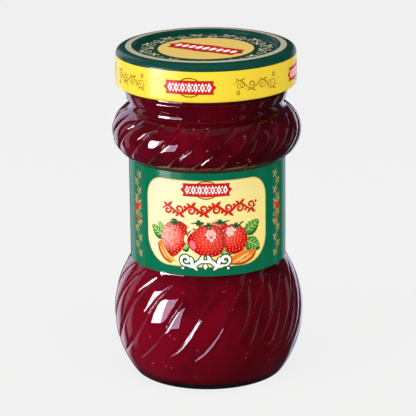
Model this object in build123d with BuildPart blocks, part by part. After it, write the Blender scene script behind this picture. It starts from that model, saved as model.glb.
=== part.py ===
"""A shut glass jar of strawberry jam with a twist-off tin lid and a paper label wrapped round its waist.

Millimetres, +Z up, origin in the middle of the ring the jar stands on, middle of the label towards -Y.
The glass swells in two bands, a tall low bulb and a short shoulder bulb, both cut with slanting flutes.
Between them a plain waist takes the label. The inside of the glass is smooth.
"""

from build123d import *
import math
import os

# Waist, from which the bulbs and the neck are set off
WAIST_RADIUS = 30.5
WAIST_HEIGHT = 41.7  # between the creases of the two bulbs

# Low bulb
LOW_SWELL = 6.95  # how far its widest place stands out from the waist, over the crests of the flutes
LOW_MIDDLE = 24.3  # height of the widest place
LOW_ARC = 40.0  # radius of the bulge seen from the side
HEEL_ROUND = 1.8  # rounding where the side turns into the standing ring

# Shoulder bulb
SHOULDER_SWELL = 6.45
SHOULDER_ARC = 10.4

# Neck
NECK_INSET = 0.3  # how much narrower it is than the waist
NECK_HEIGHT = 23.1  # from the shoulder bulb's upper crease to the rim
BEAD_STAND = 1.4  # ring of glass round the neck, under the lid: how far it stands out
BEAD_HEIGHT = 4.4
BEAD_RISE = 2.6  # from the upper crease to the foot of the bead
BEAD_ROUND = 1.2
RIM_ROUND = 0.85

# Inside of the glass
NECK_WALL = 2.2
WAIST_WALL = 2.6
BULB_WALL = 3.0  # to the crests of the flutes
FLOOR = 3.0
FLOOR_ROUND = 6.0
CREASE_ROUND = 2.5
PUNT_RADIUS = 22.5  # shallow hollow under the floor
PUNT_DEPTH = 1.6
PUNT_SLOPE = 5.0
PUNT_ROUND = 12.0

# Flutes
FLUTE_COUNT = 21
LOW_DEPTH = 0.85
LOW_START = 10.0  # height at which the low bulb's flutes begin
LOW_TURN = 0.92  # slant in degrees for each millimetre of height
LOW_CURL = 0.00165  # extra slant towards both ends
LOW_PLACE = -81.7  # direction of one valley
LOW_PLACE_HEIGHT = 28.6  # height at which it has that direction
SHOULDER_DEPTH = 1.0
SHOULDER_TURN = 1.7
SHOULDER_CURL = 0.0
SHOULDER_PLACE = -68.1
LEDGE = 0.06  # hair-wide step at each end of a fluted band
PILLOW = 0.3  # part of the depth that comes from the flutes being rounded rather than flat

# Lid
LID_REACH = 4.8  # from the neck out to the skirt
LID_HEIGHT = 14.9
LID_SHEET = 0.3
LID_ROUND = 2.8  # turn from the skirt to the top
CREST_DROP = 0.5  # fall of the top from its crest out to that turn
CREST_ROUND = 0.6
PANEL_GAP = 0.3  # between the step into the sunk middle and the glass
PANEL_DEPTH = 1.9
STEP_LEAN = 0.4  # the step into the sunk middle widens by this much upwards
BUTTON_RADIUS = 18.7  # slightly raised disc in the sunk middle
BUTTON_RISE = 0.3
BUTTON_SLOPE = 0.8
HEM_RADIUS = 0.85  # rolled lower edge
LID_GAP = 0.25  # between the rim of the glass and the lid

# Jam
HEADSPACE = 7.0  # from the rim down to the jam
JAM_GAP = 0.05

# Label
LABEL_GAP = 0.03
PAPER = 0.12
LABEL_MARGIN = 0.35  # bare glass left at each crease
LAP_WIDTH = 9.0  # where the ends of the label overlap at the back


def bulge(radius, arc, rise):
    """Radius of a bulb at a height above or below its widest place."""
    return radius - arc + math.sqrt(arc**2 - rise**2)


def reach(radius, arc, at_radius):
    """Height above its widest place at which a bulb has narrowed to a radius."""
    return math.sqrt(arc**2 - (at_radius - radius + arc) ** 2)


LOW_RADIUS = WAIST_RADIUS + LOW_SWELL
SHOULDER_RADIUS = WAIST_RADIUS + SHOULDER_SWELL
NECK_RADIUS = WAIST_RADIUS - NECK_INSET
LID_RADIUS = NECK_RADIUS + LID_REACH
PANEL_RADIUS = NECK_RADIUS - NECK_WALL - PANEL_GAP - LID_SHEET
LOW_CREASE = LOW_MIDDLE + reach(LOW_RADIUS, LOW_ARC, WAIST_RADIUS)
WAIST_TOP = LOW_CREASE + WAIST_HEIGHT
SHOULDER_MIDDLE = WAIST_TOP + reach(SHOULDER_RADIUS, SHOULDER_ARC, WAIST_RADIUS)
UPPER_CREASE = SHOULDER_MIDDLE + reach(SHOULDER_RADIUS, SHOULDER_ARC, NECK_RADIUS)
RIM = UPPER_CREASE + NECK_HEIGHT
LID_TOP = RIM + LID_GAP + LID_SHEET


def valley(share):
    """How much of the full depth is cut, over one flute from valley (0) to valley (1)."""
    off = 2 * abs(share - round(share))
    pillow = off**2 - 2 * off + 1
    cut = math.exp(-((off / 0.17) ** 2))
    return PILLOW * pillow + (1 - PILLOW) * cut


def flute_points(radius, depth, turn):
    """One flute's outline at one height, from a crest through the valley to the next crest."""
    shares = (0, 0.05, 0.1, 0.17, 0.28, 0.4, 0.48, 0.5)
    points = []
    for share in [-share for share in shares[:0:-1]] + list(shares):
        out = Vector(radius - depth * valley(share), 0)
        points.append(out.rotate(Axis.Z, turn + 360 * share / FLUTE_COUNT))
    return points


def fade(share):
    """How deep the flutes are, from nothing at either end of a bulb to full depth over its middle."""
    return min(1.0, 1.3 * math.sin(math.pi * share))


def slant(rise, turn, curl):
    """How far a flute has gone round at a height above the middle of its bulb."""
    return turn * rise + curl * rise**3


# Inside of the glass seen from the side, up to the rim
low_inner = LOW_RADIUS - BULB_WALL
low_inner_arc = LOW_ARC - BULB_WALL
shoulder_inner = SHOULDER_RADIUS - BULB_WALL
shoulder_inner_arc = SHOULDER_ARC - BULB_WALL
waist_inner = WAIST_RADIUS - WAIST_WALL
neck_inner = NECK_RADIUS - NECK_WALL
floor_corner = (bulge(low_inner, low_inner_arc, FLOOR - LOW_MIDDLE), FLOOR)
waist_foot = (waist_inner, LOW_MIDDLE + reach(low_inner, low_inner_arc, waist_inner))
waist_head = (waist_inner, SHOULDER_MIDDLE - reach(shoulder_inner, shoulder_inner_arc, waist_inner))
neck_foot = (neck_inner, SHOULDER_MIDDLE + reach(shoulder_inner, shoulder_inner_arc, neck_inner))
with BuildSketch(Plane.XZ) as cavity_side:
    with BuildLine():
        Line((0, FLOOR), floor_corner)
        ThreePointArc(floor_corner, (low_inner, LOW_MIDDLE), waist_foot)
        Line(waist_foot, waist_head)
        ThreePointArc(waist_head, (shoulder_inner, SHOULDER_MIDDLE), neck_foot)
        Polyline(neck_foot, (neck_inner, RIM), (0, RIM), (0, FLOOR))
    make_face()
    lowest = cavity_side.vertices().filter_by_position(Axis.X, 1, LOW_RADIUS).sort_by(Axis.Y)[0]
    fillet(lowest, radius=FLOOR_ROUND)
    creases = cavity_side.vertices().filter_by_position(Axis.Y, LOW_MIDDLE, RIM - 1)
    fillet(creases, radius=CREASE_ROUND)

# Glass: plain heel, waist and neck, with a fluted bulb between each two, then the smooth inside
with BuildPart() as glass_jar:
    with BuildSketch(Plane.XZ) as heel_side:
        with BuildLine():
            heel_foot = (bulge(LOW_RADIUS, LOW_ARC, -LOW_MIDDLE), 0)
            heel_top = (bulge(LOW_RADIUS, LOW_ARC, LOW_START - LOW_MIDDLE), LOW_START)
            heel_side_point = (bulge(LOW_RADIUS, LOW_ARC, LOW_START / 2 - LOW_MIDDLE), LOW_START / 2)
            ThreePointArc(heel_foot, heel_side_point, heel_top)
            Polyline(heel_top, (0, LOW_START), (0, 0), heel_foot)
        make_face()
        fillet(heel_side.vertices().group_by(Axis.Y)[0].sort_by(Axis.X)[-1], radius=HEEL_ROUND)
    revolve(axis=Axis.Z)

    with BuildSketch(Plane.XZ) as waist_side:
        with Locations((0, LOW_CREASE)):
            Rectangle(WAIST_RADIUS, WAIST_HEIGHT, align=(Align.MIN, Align.MIN))
    revolve(axis=Axis.Z)

    with BuildSketch(Plane.XZ) as neck_side:
        with Locations((0, UPPER_CREASE)):
            Rectangle(NECK_RADIUS, NECK_HEIGHT, align=(Align.MIN, Align.MIN))
    revolve(axis=Axis.Z)

    with BuildSketch(Plane.XZ) as bead_side:
        with Locations((0, UPPER_CREASE + BEAD_RISE)):
            Rectangle(NECK_RADIUS + BEAD_STAND, BEAD_HEIGHT, align=(Align.MIN, Align.MIN))
        fillet(bead_side.vertices().group_by(Axis.X)[-1], radius=BEAD_ROUND)
    revolve(axis=Axis.Z)

    # Low bulb
    for step in range(12):
        level = LOW_START + (LOW_CREASE - LOW_START) * step / 11
        low_radius = bulge(LOW_RADIUS, LOW_ARC, level - LOW_MIDDLE) + LEDGE
        low_depth = LOW_DEPTH * fade(step / 11)
        low_turn = LOW_PLACE + slant(level - LOW_PLACE_HEIGHT, LOW_TURN, LOW_CURL)
        with BuildSketch(Plane.XY.offset(level)):
            with BuildLine():
                for flute in range(FLUTE_COUNT):
                    place = low_turn + 360 * flute / FLUTE_COUNT
                    Spline(*flute_points(low_radius, low_depth, place))
            make_face()
    loft()

    # Shoulder bulb
    for step in range(10):
        level = WAIST_TOP + (UPPER_CREASE - WAIST_TOP) * step / 9
        rise = level - SHOULDER_MIDDLE
        shoulder_radius = bulge(SHOULDER_RADIUS, SHOULDER_ARC, rise) + LEDGE
        shoulder_depth = SHOULDER_DEPTH * fade(step / 9)
        shoulder_turn = SHOULDER_PLACE + slant(rise, SHOULDER_TURN, SHOULDER_CURL)
        with BuildSketch(Plane.XY.offset(level)):
            with BuildLine():
                for flute in range(FLUTE_COUNT):
                    place = shoulder_turn + 360 * flute / FLUTE_COUNT
                    Spline(*flute_points(shoulder_radius, shoulder_depth, place))
            make_face()
    loft()

    # Hollow inside, rounded rim, hollow under the floor
    with BuildSketch(Plane.XZ):
        add(cavity_side.sketch_local)
    revolve(axis=Axis.Z, mode=Mode.SUBTRACT)
    rim_edges = glass_jar.edges().filter_by_position(Axis.Z, RIM - 0.01, RIM + 0.01)
    fillet(rim_edges, radius=RIM_ROUND)
    with BuildSketch(Plane.XZ) as punt_side:
        with BuildLine():
            punt_edge = (PUNT_RADIUS - PUNT_SLOPE, PUNT_DEPTH)
            Polyline((0, 0), (PUNT_RADIUS, 0), punt_edge, (0, PUNT_DEPTH), (0, 0))
        make_face()
        fillet(punt_side.vertices().group_by(Axis.Y)[-1].sort_by(Axis.X)[-1], radius=PUNT_ROUND)
    revolve(axis=Axis.Z, mode=Mode.SUBTRACT)

# Jam, filling the glass up to a level that the lid hides
with BuildPart() as jam:
    with BuildSketch(Plane.XZ):
        add(cavity_side.sketch_local)
        offset(amount=-JAM_GAP)
        with Locations((0, FLOOR + JAM_GAP)):
            Rectangle(PUNT_RADIUS / 2, RIM - FLOOR, align=(Align.MIN, Align.MIN))
        with Locations((0, RIM - HEADSPACE)):
            Rectangle(2 * NECK_RADIUS, RIM, align=(Align.MIN, Align.MIN), mode=Mode.SUBTRACT)
    revolve(axis=Axis.Z)

# Label, a sleeve of paper round the waist with its lapped end at the back
LABEL_FOOT = LOW_CREASE + LABEL_MARGIN
LABEL_HEIGHT = WAIST_HEIGHT - 2 * LABEL_MARGIN
LABEL_INNER = WAIST_RADIUS + LABEL_GAP
with BuildPart() as label:
    with BuildSketch(Plane.XY.offset(LABEL_FOOT)):
        Circle(LABEL_INNER + PAPER)
        Circle(LABEL_INNER, mode=Mode.SUBTRACT)
    extrude(amount=LABEL_HEIGHT)
    with BuildSketch(Plane.XY.offset(LABEL_FOOT)):
        Circle(LABEL_INNER + 2 * PAPER)
        Circle(LABEL_INNER + PAPER / 2, mode=Mode.SUBTRACT)
        with Locations((0, WAIST_RADIUS)):
            Rectangle(LAP_WIDTH, WAIST_RADIUS, mode=Mode.INTERSECT)
    extrude(amount=LABEL_HEIGHT)

# Lid, pressed from one sheet, with a rolled hem
with BuildPart() as lid:
    with BuildSketch(Plane.XZ):
        panel = LID_TOP - PANEL_DEPTH
        hem = LID_TOP - LID_HEIGHT + HEM_RADIUS
        with BuildLine() as lid_skin:
            Polyline(
                (0, panel + BUTTON_RISE),
                (BUTTON_RADIUS, panel + BUTTON_RISE),
                (BUTTON_RADIUS + BUTTON_SLOPE, panel),
                (PANEL_RADIUS, panel),
                (PANEL_RADIUS + STEP_LEAN, LID_TOP),
                (LID_RADIUS, LID_TOP - CREST_DROP),
                (LID_RADIUS, hem),
            )
            corners = lid_skin.vertices()
            crest = corners.filter_by_position(Axis.X, PANEL_RADIUS - 0.1, LID_RADIUS - 1)
            fillet(crest, radius=CREST_ROUND)
            corners = lid_skin.vertices().sort_by(Axis.X)
            fillet(corners[-2:].sort_by(Axis.Y)[-1], radius=LID_ROUND)
            offset(amount=LID_SHEET, side=Side.RIGHT)
        make_face()
        with Locations((LID_RADIUS - HEM_RADIUS, hem)):
            Circle(HEM_RADIUS)
    revolve(axis=Axis.Z)

glass_jar.part.label = "glass_jar"
jam.part.label = "jam"
label.part.label = "label"
lid.part.label = "lid"

os.makedirs("parts", exist_ok=True)
export_step(glass_jar.part, "parts/glass_jar.step")
export_step(jam.part, "parts/jam.step")
export_step(label.part, "parts/label.step")
export_step(lid.part, "parts/lid.step")

for piece in (glass_jar, jam, label, lid):
    box = piece.part.bounding_box()
    print(piece.part.label, round(piece.part.volume), "mm3", "up to", round(box.max.Z, 2))
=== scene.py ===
# %% [markdown]
# # A jar of strawberry jam
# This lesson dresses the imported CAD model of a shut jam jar: a fluted glass jar, the jam in it, a paper
# label round its waist and a twist-off tin lid. The CAD solids could be shown as they are, but their faces
# are coarse for glass, so each piece is modelled again at a finer grain, in the same frame and in metres.

import math
import random

import bpy
import numpy as np
from mathutils import Matrix, Vector


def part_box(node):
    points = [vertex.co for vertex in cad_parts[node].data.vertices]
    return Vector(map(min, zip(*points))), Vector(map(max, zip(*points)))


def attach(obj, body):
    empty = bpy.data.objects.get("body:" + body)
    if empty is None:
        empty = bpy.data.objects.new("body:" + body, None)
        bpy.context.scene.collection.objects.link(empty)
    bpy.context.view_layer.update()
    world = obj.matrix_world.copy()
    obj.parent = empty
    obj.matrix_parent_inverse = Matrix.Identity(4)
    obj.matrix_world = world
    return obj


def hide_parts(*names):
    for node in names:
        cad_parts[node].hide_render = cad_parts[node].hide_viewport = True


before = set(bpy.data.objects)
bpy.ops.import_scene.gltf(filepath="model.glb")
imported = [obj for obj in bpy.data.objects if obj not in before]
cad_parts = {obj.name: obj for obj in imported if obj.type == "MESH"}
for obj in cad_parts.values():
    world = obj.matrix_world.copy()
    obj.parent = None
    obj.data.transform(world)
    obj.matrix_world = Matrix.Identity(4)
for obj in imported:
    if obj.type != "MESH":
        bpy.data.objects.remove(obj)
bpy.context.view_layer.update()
MM = 0.001

# %% [markdown]
# The camera stands in front of the label and looks slightly down. A short lens close by would spread the
# jar's shoulders, so a long lens is used from nearly a metre away, which keeps the sides parallel.

# %% Camera
CAMERA_AWAY = 0.9
CAMERA_RISE = math.radians(16.69)
CAMERA_ROLL = math.radians(-0.62)
CAMERA_AIM = Vector((0.00012, 0, 0.0654))
LENS = 197.4

bpy.ops.object.camera_add()
camera = bpy.context.object
camera.data.lens = LENS
camera.data.clip_end = 20
stand = CAMERA_AIM + CAMERA_AWAY * Vector((0, -math.cos(CAMERA_RISE), math.sin(CAMERA_RISE)))
turned = Matrix.Rotation(math.pi / 2 - CAMERA_RISE, 4, "X") @ Matrix.Rotation(CAMERA_ROLL, 4, "Z")
camera.matrix_world = Matrix.Translation(stand) @ turned
bpy.context.scene.camera = camera
bpy.context.scene.view_settings.view_transform = "Standard"
print("camera at", [round(side, 3) for side in stand])

# %% [markdown]
# Colours that change over a piece are sums and products of node outputs. They could be wired up one node at
# a time, but that hides the sum. A small class wraps one output instead: an expression such as
# `1 - mask * 0.5` then adds the Math nodes that work it out, and one method adds any other node.


# %% A node output that can be used in sums
class Wire:
    """One output of a node tree. Arithmetic on it adds Math nodes."""

    def __init__(self, tree, socket=None):
        self.tree = tree
        self.socket = socket

    def node(self, kind, settings=None, sockets=None, out=0):
        """Adds a node of a type, with its settings first and then its sockets' values or links."""
        made = self.tree.nodes.new(kind)
        for name, value in (settings or {}).items():
            setattr(made, name, value)
        for name, value in (sockets or {}).items():
            if isinstance(value, Wire):
                self.tree.links.new(value.socket, made.inputs[name])
            else:
                made.inputs[name].default_value = value
        return Wire(self.tree, made.outputs[out] if made.outputs else None)

    def math(self, operation, *others):
        sockets = dict(enumerate((self,) + others))
        return self.node("ShaderNodeMath", {"operation": operation}, sockets)

    def __add__(self, other):
        return self.math("ADD", other)

    __radd__ = __add__

    def __mul__(self, other):
        return self.math("MULTIPLY", other)

    __rmul__ = __mul__

    def __sub__(self, other):
        return self.math("SUBTRACT", other)

    def __rsub__(self, other):
        return (self * -1).math("ADD", other)

    def __truediv__(self, other):
        return self.math("DIVIDE", other)

    def __pow__(self, other):
        return self.math("POWER", other)

    def band(self, low, high, soft):
        """1 between two values, 0 outside them, with soft edges."""
        ranges = (("From Min", low - soft, "From Max", low), ("From Min", high, "From Max", high + soft))
        rising, falling = (
            self.node(
                "ShaderNodeMapRange",
                {"interpolation_type": "SMOOTHSTEP"},
                {"Value": self, start: first, end: last},
            )
            for start, first, end, last in ranges
        )
        return rising * (1 - falling)

    def blend(self, first, second):
        """A colour between two others, with this output as the share of the second."""
        first, second = (side if isinstance(side, Wire) else (*side, 1) for side in (first, second))
        return self.node("ShaderNodeMix", {"data_type": "RGBA"}, {0: self, 6: first, 7: second}, 2)

    def clamped(self):
        """This output kept between 0 and 1."""
        return self.math("MAXIMUM", 0).math("MINIMUM", 1)

    def ray(self, kind):
        """1 for rays of one kind, 0 for all others."""
        return self.node("ShaderNodeLightPath", out=f"Is {kind} Ray")

    def place(self):
        """The place on the piece, in metres along its own axes."""
        return self.node("ShaderNodeTexCoord", out="Object")

    def along(self, axis):
        """How far this place or direction goes along one axis."""
        return self.node("ShaderNodeSeparateXYZ", None, {0: self}, axis)

    def clouds(self, scale, detail=2.0):
        """A cloudy pattern over this place, from 0 to 1."""
        sockets = {"Vector": self, "Scale": scale, "Detail": detail}
        return self.node("ShaderNodeTexNoise", None, sockets, "Fac")


# %% [markdown]
# The jar stands in a plain pale studio. Glass shows what stands round it: in an evenly white room it would
# look milky, so for reflected rays alone the world holds tall pale screens beside and behind the jar, and
# two narrow slits on the right. The screens draw the light stripes along the jar's sides, and the slits
# pick out the flutes. Rays that pass through the glass meet a dark wall, which gives the jar its thin dark
# outline.

# %% World
PALE = 0.895
AMBIENT = 0.63
DIM_ROOM = 0.04
DARK_WALL = 0.005
SCREEN_TINT = (0.9, 0.9, 1.16)

world = bpy.data.worlds.new("studio")
bpy.context.scene.world = world
world.use_nodes = True
world.node_tree.nodes.clear()
air = Wire(world.node_tree)
toward = air.node("ShaderNodeTexCoord", out="Generated")
split = {axis: toward.along(axis) for axis in "XYZ"}
bearing = split["X"].math("ARCTAN2", split["Y"] * -1) * (180 / math.pi)
low = split["Z"].band(-0.42, 0.55, 0.14)
lowest = split["Z"].band(-0.42, 0.08, 0.1)
left_screen = bearing.band(-160, -136, 2) * 1.5 + bearing.band(-122, -109, 2) * 0.7
right_screen = bearing.band(146, 166, 2) * 1.3 + bearing.band(116, 124, 2) * 0.45
overhead = split["Z"].band(0.88, 2, 0.1) * 0.22
right_slits = bearing.band(52, 57, 1.5) * 0.38 + bearing.band(84, 89, 1.5) * 0.42
mirrored = (left_screen + right_slits) * low + right_screen * lowest + overhead + DIM_ROOM
seen = air.ray("Camera")
through = air.ray("Transmission") * (1 - seen)
glossy = air.ray("Glossy") * (1 - seen) * (1 - through)
rest = (1 - seen) * (1 - through) * (1 - glossy)
level = seen * PALE + through * DARK_WALL + glossy * mirrored + rest * AMBIENT
tint = glossy.blend((1, 1, 1), SCREEN_TINT)
sky = air.node("ShaderNodeBackground", None, {"Color": tint, "Strength": level})
air.node("ShaderNodeOutputWorld", None, {"Surface": sky})
print("world nodes", len(world.node_tree.nodes))


# %% [markdown]
# The floor shows as the same pale grey as the world, so there is no horizon. A plain white floor would take
# its tone from the lamps alone and shade off. Here most of the tone is the floor's own, for the camera's
# rays, and a little comes from the lamps, which leaves a faint shadow under the jar.


# %% Floor
def fresh(name):
    """An empty material and the start of its node tree."""
    material = bpy.data.materials.new(name)
    material.use_nodes = True
    material.node_tree.nodes.clear()
    return material, Wire(material.node_tree)


OWN_TONE = PALE - 0.085
UNDER_THE_JAR = -0.06 * MM
floor_paint, wire = fresh("pale_floor")
seen = wire.ray("Camera")
lit = wire.node("ShaderNodeBsdfDiffuse", None, {"Color": (0.07, 0.07, 0.07, 1)})
bright = wire.node("ShaderNodeEmission", None, {"Color": (1, 1, 1, 1), "Strength": OWN_TONE})
faced = wire.node("ShaderNodeAddShader", None, {0: lit, 1: bright})
plain = wire.node("ShaderNodeBsdfDiffuse", None, {"Color": (0.75, 0.75, 0.75, 1)})
either = wire.node("ShaderNodeMixShader", None, {0: seen, 1: plain, 2: faced})
wire.node("ShaderNodeOutputMaterial", None, {"Surface": either})

bpy.ops.object.select_all(action="DESELECT")
bpy.ops.mesh.primitive_plane_add(size=12, location=(0, 0, UNDER_THE_JAR))
floor = bpy.context.object
floor.name = "studio_floor"
floor.data.materials.append(floor_paint)
floor.visible_glossy = False
floor.visible_transmission = False
print("floor tone", OWN_TONE)


# %% [markdown]
# A jam jar is best lit by a window at its side. One lamp could do both the lighting and the glints, but its
# glint would cover the jam, so a soft box to the left does the lighting, and two panes beside it, one
# bright and one dim, show only as glints across the flutes. A warm box on the right fills the shadows, and
# a broad one hangs above the lid.


# %% Lamps
def soft_box(name, bearing, rise, away, wide, tall, power, mirrored=False):
    """A rectangular lamp that faces the jar, at a bearing from the camera's side and a rise in degrees."""
    around, up = math.radians(bearing), math.radians(rise)
    heading = Vector((math.sin(around) * math.cos(up), -math.cos(around) * math.cos(up), math.sin(up)))
    bpy.ops.object.light_add(type="AREA", location=Vector((0, 0, 0.06)) + away * heading)
    lamp = bpy.context.object
    lamp.name = name
    lamp.rotation_euler = heading.to_track_quat("Z", "Y").to_euler()
    lamp.data.shape = "RECTANGLE"
    lamp.data.size = wide
    lamp.data.size_y = tall
    lamp.data.energy = power
    lamp.visible_camera = False
    lamp.visible_glossy = mirrored
    lamp.visible_diffuse = not mirrored
    return lamp


soft_box("window_light", -54, 14, 0.9, 0.5, 0.6, 4.7)
panes = (("bright_pane", -63.5, 6.4, (0.93, 0.93, 1.0)), ("dim_pane", -44.5, 1.5, (0.84, 0.74, 1.0)))
for name, bearing_of_pane, power, colour in panes:
    pane = soft_box(name, bearing_of_pane, 1.4, 0.6, 0.195, 0.3, power, True)
    pane.data.color = colour
fill = soft_box("fill", 50, 24, 1.0, 0.6, 0.5, 2.1)
fill.data.color = (1.0, 0.78, 0.45)
soft_box("top", 0, 72, 1.0, 0.8, 0.8, 5.0)

# %% [markdown]
# Glass, jam, label and lid are all turned forms. Each could be built up from cylinders, but the soft
# creases between them are easier to draw once from the side, by extruding a single vertex along an outline,
# and then to spin round the axis. The seam and the poles are merged, so that each form is closed.


# %% Drawing a side and spinning it
def alone():
    """Nothing selected, in object mode."""
    if bpy.context.object and bpy.context.object.mode != "OBJECT":
        bpy.ops.object.mode_set(mode="OBJECT")
    bpy.ops.object.select_all(action="DESELECT")


def draw_side(name, points):
    """A chain of edges through points of (radius, height) in mm, drawn by extruding one vertex."""
    alone()
    first_radius, first_height = points[0]
    bpy.ops.mesh.primitive_plane_add(size=MM, location=(0, 0, 0))
    piece = bpy.context.object
    piece.name = name
    bpy.ops.object.mode_set(mode="EDIT")
    bpy.ops.mesh.select_all(action="SELECT")
    bpy.ops.mesh.merge(type="CENTER")
    bpy.ops.transform.translate(value=(first_radius * MM, 0, first_height * MM))
    for (radius, height), (after_radius, after_height) in zip(points, points[1:]):
        step = ((after_radius - radius) * MM, 0, (after_height - height) * MM)
        bpy.ops.mesh.extrude_region_move(TRANSFORM_OT_translate={"value": step})
    return piece


def spun(name, points, steps, crisp=40):
    """A closed turned form: the side spun once round the Z axis, its seam and poles merged."""
    piece = draw_side(name, points)
    bpy.ops.mesh.select_all(action="SELECT")
    bpy.ops.mesh.spin(steps=steps, angle=2 * math.pi, center=(0, 0, 0), axis=(0, 0, 1))
    bpy.ops.mesh.select_all(action="SELECT")
    bpy.ops.mesh.remove_doubles(threshold=0.004 * MM)
    bpy.ops.mesh.normals_make_consistent(inside=False)
    bpy.ops.object.mode_set(mode="OBJECT")
    bpy.ops.object.shade_smooth_by_angle(angle=math.radians(crisp))
    print(name, len(piece.data.polygons), "faces")
    return piece


def arc_points(centre, radius, start, end, count):
    """Points on an arc seen from the side, its ends given in degrees from the outward level."""
    angles = [math.radians(start + (end - start) * step / count) for step in range(count + 1)]
    return [(centre[0] + radius * math.cos(a), centre[1] + radius * math.sin(a)) for a in angles]


def corner_points(before, corner, after, count=6):
    """Points of a soft corner, from a point before it to a point after it."""
    points = []
    for step in range(count + 1):
        t = step / count
        pairs = zip(before, corner, after)
        points.append(tuple((1 - t) ** 2 * a + 2 * t * (1 - t) * b + t * t * c for a, b, c in pairs))
    return points


# %% [markdown]
# The outer side of the glass is a hollow base, a soft heel, a tall low bulb, a crease, a straight waist for
# the label, a short high bulb, a neck with a bead and a round rim. The bulbs are arcs, as they are on a
# pressed mould, and each corner between them is a short soft curve. The heights of the waist and the rim
# come from the CAD pieces.

# %% The outer side of the glass
glass_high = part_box("glass_jar")[1]
label_low, label_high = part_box("label")
lid_low, lid_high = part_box("lid")
jam_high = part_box("jam")[1]
RIM = glass_high[2] / MM
LOW_CREASE = label_low[2] / MM - 0.35
HIGH_CREASE = label_high[2] / MM + 0.35
WAIST = 30.5
NECK = 30.2
LOW_ARC = 40.0
LOW_MIDDLE = (37.45 - LOW_ARC, 24.3)
HIGH_ARC = 10.4
HIGH_MIDDLE = (36.95 - HIGH_ARC, HIGH_CREASE + 9.62)


def lean(middle, arc, radius):
    """The angle at which an arc has a radius from the jar's axis."""
    return math.degrees(math.acos((radius - middle[0]) / arc))


low_start = -math.degrees(math.asin((LOW_MIDDLE[1] - 0.71) / LOW_ARC))
underside = [(0, 1.6), (9, 1.6)] + corner_points((14, 1.6), (19, 1.6), (22.4, 0.1)) + [(23.2, 0), (26, 0)]
heel = corner_points((28.3, 0), (29.2, 0), (29.74, 0.71))[:-1]
low_side = arc_points(LOW_MIDDLE, LOW_ARC, low_start, lean(LOW_MIDDLE, LOW_ARC, WAIST + 0.7), 60)
low_crease = corner_points(low_side[-1], (WAIST, LOW_CREASE + 0.1), (WAIST, LOW_CREASE + 1.0))[1:]
high_lean = lean(HIGH_MIDDLE, HIGH_ARC, WAIST + 0.8)
neck_lean = lean(HIGH_MIDDLE, HIGH_ARC, NECK + 0.9)
high_side = arc_points(HIGH_MIDDLE, HIGH_ARC, -high_lean, neck_lean, 44)
high_crease = corner_points((WAIST, HIGH_CREASE - 1.0), (WAIST, HIGH_CREASE - 0.1), high_side[0])[:-1]
NECK_FOOT = HIGH_MIDDLE[1] + 9.74
BEAD = 31.6
neck_crease = corner_points(high_side[-1], (NECK, NECK_FOOT + 0.2), (NECK, NECK_FOOT + 1.3))[1:]
bead = (
    corner_points((NECK, NECK_FOOT + 2.4), (NECK + 0.1, NECK_FOOT + 2.7), (NECK + 0.35, NECK_FOOT + 2.8), 3)
    + corner_points(
        (BEAD - 1.1, NECK_FOOT + 2.85), (BEAD - 0.6, NECK_FOOT + 2.95), (BEAD - 0.5, NECK_FOOT + 3.6), 5
    )
    + corner_points((BEAD, NECK_FOOT + 6.0), (BEAD, NECK_FOOT + 6.9), (NECK + 0.2, NECK_FOOT + 7.1), 6)
)
rim = corner_points((NECK, RIM - 0.9), (NECK, RIM), (NECK - 0.9, RIM), 4)
rim += corner_points((NECK - 1.3, RIM), (NECK - 2.2, RIM), (NECK - 2.2, RIM - 0.9), 4)
outer_side = underside + heel + low_side + low_crease + high_crease + high_side + neck_crease + bead + rim
print("outer side has", len(outer_side), "points")

# %% [markdown]
# The inside of a blown jar is smooth and follows the outside. It could be had from the Solidify modifier,
# but the floor is thick and its corner is wide, so the inner side is drawn too, with a 3 mm wall at the
# bulbs. The flutes are only on the outside.

# %% The inner side of the glass
NECK_INNER = NECK - 2.2
WAIST_INNER = WAIST - 2.6
HIGH_INNER_ARC = HIGH_ARC - 3.0
LOW_INNER_ARC = LOW_ARC - 3.0
FLOOR = 3.0
FLOOR_ROUND = 6.0
corner_up = FLOOR + FLOOR_ROUND
corner_reach = LOW_INNER_ARC - FLOOR_ROUND
corner_lean = math.degrees(math.asin((LOW_MIDDLE[1] - corner_up) / corner_reach))
corner_out = LOW_MIDDLE[0] + corner_reach * math.cos(math.radians(corner_lean))
inner_side = (
    arc_points(
        HIGH_MIDDLE,
        HIGH_INNER_ARC,
        lean(HIGH_MIDDLE, HIGH_INNER_ARC, NECK_INNER + 1.2),
        -lean(HIGH_MIDDLE, HIGH_INNER_ARC, WAIST_INNER + 1.2),
        18,
    )
    + [(WAIST_INNER, HIGH_MIDDLE[1] - 9.4), (WAIST_INNER, LOW_CREASE - 0.6)]
    + arc_points(
        LOW_MIDDLE,
        LOW_INNER_ARC,
        lean(LOW_MIDDLE, LOW_INNER_ARC, WAIST_INNER + 0.7),
        -corner_lean,
        26,
    )
)
inner_floor = arc_points((corner_out, corner_up), FLOOR_ROUND, -corner_lean, -90, 8)[1:]
inner_floor += [(12, FLOOR), (0, FLOOR)]
glass_side = outer_side + [(NECK_INNER, NECK_FOOT - 0.6)] + inner_side + inner_floor
print("glass side has", len(glass_side), "points")

# %% [markdown]
# Twenty-one flutes climb each bulb on a slant. Cutting them with swept tools would leave hard edges, so
# they are pressed into the spun wall: every column of points is turned to climb along a flute, and the
# points near a valley move inwards. Columns stand closer together near the valleys, where the form is
# tight.

# %% Depth of a flute
FLUTES = 21
COLUMNS = 20
LOW_DEPTH = 0.85
HIGH_DEPTH = 1.0
PILLOW = 0.3
VALLEY_HALF = 0.17


def valley(share):
    """How much of the depth is cut, by share of a flute away from the bottom of its valley."""
    off = 2 * np.abs(share)
    return PILLOW * (1 - off) ** 2 + (1 - PILLOW) * np.exp(-((off / VALLEY_HALF) ** 2))


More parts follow.
